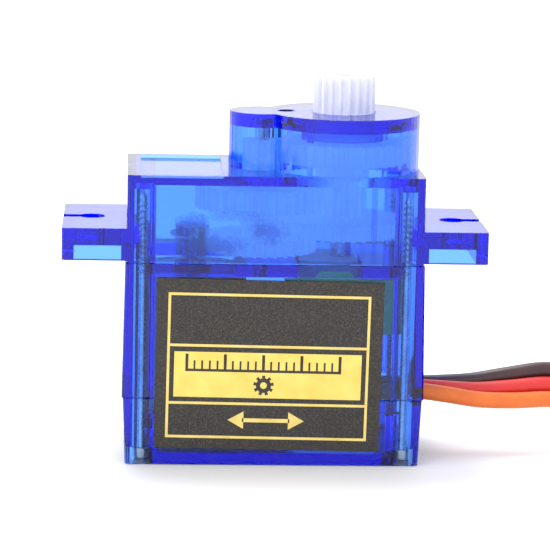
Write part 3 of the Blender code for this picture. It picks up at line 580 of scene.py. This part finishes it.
def screw(name, x, y):
    """A pan head with a cross recess below, a plain shank and a thread cut into the top case."""
    sides = 20
    profile = ((HEAD_LOW, HEAD_RADIUS * 0.8), (HEAD_LOW + 0.06, HEAD_RADIUS * 0.93), (HEAD_EDGE, HEAD_RADIUS),
               (HEAD_TOP, HEAD_RADIUS), (HEAD_TOP, SHANK_RADIUS + 0.06), (HEAD_TOP + 0.12, SHANK_RADIUS),
               (THREAD_LOW, SHANK_RADIUS))
    bm = bmesh.new()
    rings = [ring(bm, x, y, z, radius, sides) for z, radius in profile]
    # Six rings to a turn of the thread, which fades in and out over a turn.
    levels = round((THREAD_HIGH - THREAD_LOW) / THREAD_PITCH * 6)
    for level in range(levels + 1):
        z = THREAD_LOW + 0.05 + (THREAD_HIGH - THREAD_LOW) * level / levels
        fade = min(1.0, level / 6, (levels - level) / 6)
        verts = []
        for k in range(sides):
            turn = 2 * math.pi * k / sides
            place = (z / THREAD_PITCH - k / sides) % 1.0
            ridge = max(0.0, 1.0 - abs(place - 0.5) * 3.2)
            radius = SHANK_RADIUS + fade * (THREAD_ROOT - SHANK_RADIUS + (THREAD_CREST - THREAD_ROOT) * ridge)
            verts.append(bm.verts.new((x + radius * math.cos(turn), y + radius * math.sin(turn), z)))
        rings.append(verts)
    rings.append(ring(bm, x, y, SCREW_TIP, 0.12, sides))
    skin(bm, rings)
    bm.faces.new(rings[-1])
    arm, half = RECESS_ARM, RECESS_HALF
    cross = [(arm, -half), (arm, half), (half, half), (half, arm), (-half, arm), (-half, half),
             (-arm, half), (-arm, -half), (-half, -half), (-half, -arm), (half, -arm), (half, -half)]
    mouth = [bm.verts.new((x + a, y + b, HEAD_LOW)) for a, b in cross]
    floor = [bm.verts.new((x + a * 0.8, y + b * 0.8, HEAD_LOW + RECESS_DEPTH)) for a, b in cross]
    edges = [bm.edges.new((mouth[i - 1], mouth[i])) for i in range(len(mouth))]
    edges += [bm.edges.get((rings[0][k - 1], rings[0][k])) for k in range(sides)]
    bmesh.ops.triangle_fill(bm, use_beauty=True, use_dissolve=False, edges=edges)
    skin(bm, [mouth, floor])
    bm.faces.new(floor)
    return store(name, bm, "screw", smooth=40)


def add_screws():
    """Threaded screws in place of the CAD's plain shanks."""
    places = [(sx * SCREW_X, sy * SCREW_Y) for sx in (-1, 1) for sy in (-1, 1)]
    for number, (x, y) in enumerate(places, 1):
        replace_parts(screw(f"threaded_screw_{number}", x, y), f"case_screw_{number}")


# ---- small details ---------------------------------------------------------------------------------
PLUG_TOP = 6.44
# Solder on the board as (x, z): the lead's wires, the motor's, the sensor's three pins and a few pads.
SOLDER_JOINTS = ((6.7, 4.9), (5.4, 4.9), (8.0, 4.9), (1.5, 3.9), (2.9, 3.9),
                 (3.3, 12.65), (5.3, 12.65), (7.3, 12.65),
                 (1.3, 13.0), (1.3, 12.0), (1.3, 6.4), (1.3, 7.4), (1.3, 8.4))
SOLDER_RADIUS = 0.3


def block(bm, low, high):
    """A box between two opposite corners."""
    low_ring = [bm.verts.new((x, y, low[2])) for x, y in bar(low[0], low[1], high[0], high[1])]
    high_ring = [bm.verts.new((x, y, high[2])) for x, y in bar(low[0], low[1], high[0], high[1])]
    skin(bm, [low_ring, high_ring])
    bm.faces.new(low_ring)
    bm.faces.new(high_ring)


def dome(bm, centre, radius):
    """Half a ball of solder standing on the board's back face."""
    rings, sides, rows = [], 12, 4
    for row in range(rows):
        rise = math.pi / 2 * row / rows
        rings.append([bm.verts.new((centre[0] + radius * math.cos(rise) * math.cos(2 * math.pi * k / sides),
                                    centre[1] + 0.8 * radius * math.sin(rise),
                                    centre[2] + radius * math.cos(rise) * math.sin(2 * math.pi * k / sides)))
                      for k in range(sides)])
    skin(bm, rings)
    bm.faces.new(rings[0])
    bm.faces.new(rings[-1])


def add_details():
    """The plug's contact windows and latch tongues, and the solder on the board."""
    tongues, windows = bmesh.new(), bmesh.new()
    for number in (-1, 0, 1):
        y = PLUG_Y - PLUG_PITCH * number
        block(windows, (45.4, y - 0.6, PLUG_TOP + 0.002), (49.4, y + 0.6, PLUG_TOP + 0.03))
        block(tongues, (45.8, y - 0.38, PLUG_TOP + 0.002), (48.4, y + 0.38, PLUG_TOP + 0.16))
        block(tongues, (45.1, y - 0.85, PLUG_TOP + 0.002), (49.7, y - 0.66, PLUG_TOP + 0.1))
        block(tongues, (45.1, y + 0.66, PLUG_TOP + 0.002), (49.7, y + 0.85, PLUG_TOP + 0.1))
    soften(store("plug_tongues", tongues, "black"), 0.04)
    store("plug_windows", windows, "brass")
    solder = bmesh.new()
    for x, z in SOLDER_JOINTS:
        dome(solder, (x, BOARD_BACK + 0.002, z), SOLDER_RADIUS)
    store("solder_joints", solder, "tin", smooth=60)


# ---- marks inside the case -------------------------------------------------------------------------
# The grease's films and the dark films lie just behind the front wall.
FILM_Y = -5.19


def lump(bm, centre, size, seed, ripple):
    """A flattened drop, size from its middle out, whose outline seed shapes and ripple makes uneven."""
    rings, turns, rows = [], 24, 8
    for row in range(1, rows):
        rise = math.pi * row / rows
        corners = []
        for k in range(turns):
            turn = 2 * math.pi * k / turns
            wave = 1 + ripple * (math.sin(3 * turn + seed) * 0.5 + math.sin(5 * turn + 2.3 * seed) * 0.35
                                 + math.sin(9 * turn + 0.7 * seed) * 0.2)
            corners.append(bm.verts.new((centre[0] + size[0] * wave * math.sin(rise) * math.cos(turn),
                                         centre[1] - size[1] * math.cos(rise),
                                         centre[2] + size[2] * wave * math.sin(rise) * math.sin(turn))))
        rings.append(corners)
    skin(bm, rings)
    bm.faces.new(rings[0])
    bm.faces.new(rings[-1])


def add_grease():
    """Four smears and a drop, a hair's breadth behind the front wall."""
    marks = (("grease_smear", "grease", (-3.4, FILM_Y, 19.1), (3.0, 0.03, 0.5), 1.3, 0.25),
             ("grease_drop", "grease_gloss", (-7.0, FILM_Y + 0.1, 17.75), (1.0, 0.13, 0.4), 0.4, 0.05),
             # Three soft dark grey-blue films darken the view through the front wall here.
             ("upper_film", "dark_film", (-6.3, FILM_Y, 18.65), (1.5, 0.03, 0.75), 3.3, 0.15),
             ("low_film", "dark_film", (-5.2, FILM_Y, 16.75), (3.4, 0.03, 1.15), 1.9, 0.15),
             ("middle_film", "dark_film", (-0.6, FILM_Y, 18.0), (1.7, 0.03, 1.2), 0.6, 0.15))
    for name, look, centre, size, seed, ripple in marks:
        bm = bmesh.new()
        lump(bm, centre, size, seed, ripple)
        store(name, bm, look, smooth=80)


# ---- the CAD pieces' finishes --------------------------------------------------------------------
def dress_nodes():
    """Gives each CAD node its look, and rounds the edges that the camera comes close to."""
    finishes = {
        "blue": ("top_case", "middle_case", "bottom_cover"),
        "inner_nylon": ("gear_1", "gear_2", "gear_3"),
        "nylon": ("output_gear",),
        "screw": ("case_screw_1", "case_screw_2", "case_screw_3", "case_screw_4", "idler_pin", "motor_shaft",
                  "potentiometer_shaft", "motor_pinion"),
        "can": ("motor_can", "armature"),
        "brass": ("motor_terminal_left", "motor_terminal_right", "potentiometer_pin_1",
                  "potentiometer_pin_2", "potentiometer_pin_3", "contact_1", "contact_2", "contact_3"),
        "copper": ("commutator",),
        "black": ("motor_end_cap", "plug_housing", "control_chip", "transistor_1", "transistor_2",
                  "resistor_1", "resistor_2"),
        "magnet": ("magnet_front", "magnet_back"),
        "grey": ("potentiometer_case", "capacitor"),
        "laminate": ("potentiometer_wafer",),
        "board": ("circuit_board",),
        "sticker": ("label",),
        "wire_black": ("motor_wire_black",),
        "wire_red": ("motor_wire_red",),
    }
    for look, names in finishes.items():
        for name in names:
            dress(name, look)
    soften(nodes["top_case"], 0.13, 3)
    for name in ("middle_case", "bottom_cover"):
        soften(nodes[name], 0.07)
    soften(nodes["output_gear"], 0.05, 2, 50)
    soften(nodes["plug_housing"], 0.15)
    soften(nodes["label"], 0.02, 1)


# ---- floor and light -----------------------------------------------------------------------------
FLOOR_HALF_WIDTH, FLOOR_DROP = 600, 0.05


def add_floor():
    """Plain pale paper, a hair's breadth under the object."""
    bm = bmesh.new()
    bmesh.ops.create_grid(bm, x_segments=1, y_segments=1, size=FLOOR_HALF_WIDTH)
    bmesh.ops.scale(bm, vec=(MM, MM, MM), verts=bm.verts)
    mesh = bpy.data.meshes.new("floor")
    bm.to_mesh(mesh)
    bm.free()
    floor = bpy.data.objects.new("floor", mesh)
    scene.collection.objects.link(floor)
    floor.location.z = -FLOOR_DROP * MM
    mesh.materials.append(Look("floor", (0.74, 0.74, 0.755), 0.6).material)


def area_light(name, place, aim, size, power):
    """A round lamp this many millimetres across, turned to its aim."""
    data = bpy.data.lights.new(name, "AREA")
    data.shape, data.size, data.energy = "DISK", size * MM, power
    lamp = bpy.data.objects.new(name, data)
    scene.collection.objects.link(lamp)
    lamp.location = Vector(place) * MM
    lamp.rotation_mode = "QUATERNION"
    lamp.rotation_quaternion = (Vector(aim) - Vector(place)).to_track_quat("-Z", "Y")


def add_light():
    """A white room, a lamp above and behind and a weak one from the front left."""
    world = bpy.data.worlds.new("studio")
    scene.world = world
    world.use_nodes = True
    sky = world.node_tree.nodes["Background"]
    sky.inputs["Color"].default_value = (1.0, 1.0, 1.0, 1.0)
    sky.inputs["Strength"].default_value = 1.45
    area_light("key", (-60, 150, 360), (0, 0, 14), 220, 1.5)
    area_light("fill", (-220, -220, 160), (0, 0, 14), 260, 0.3)
    scene.view_settings.view_transform = "Standard"
    # Light goes in and out of many clear walls on its way through the case.
    scene.cycles.transmission_bounces = 24
    scene.cycles.max_bounces = 28


add_camera()
add_cable()
add_tie()
dress_nodes()
add_printing()
add_screws()
add_details()
add_grease()
add_floor()
add_light()

bpy.context.view_layer.update()
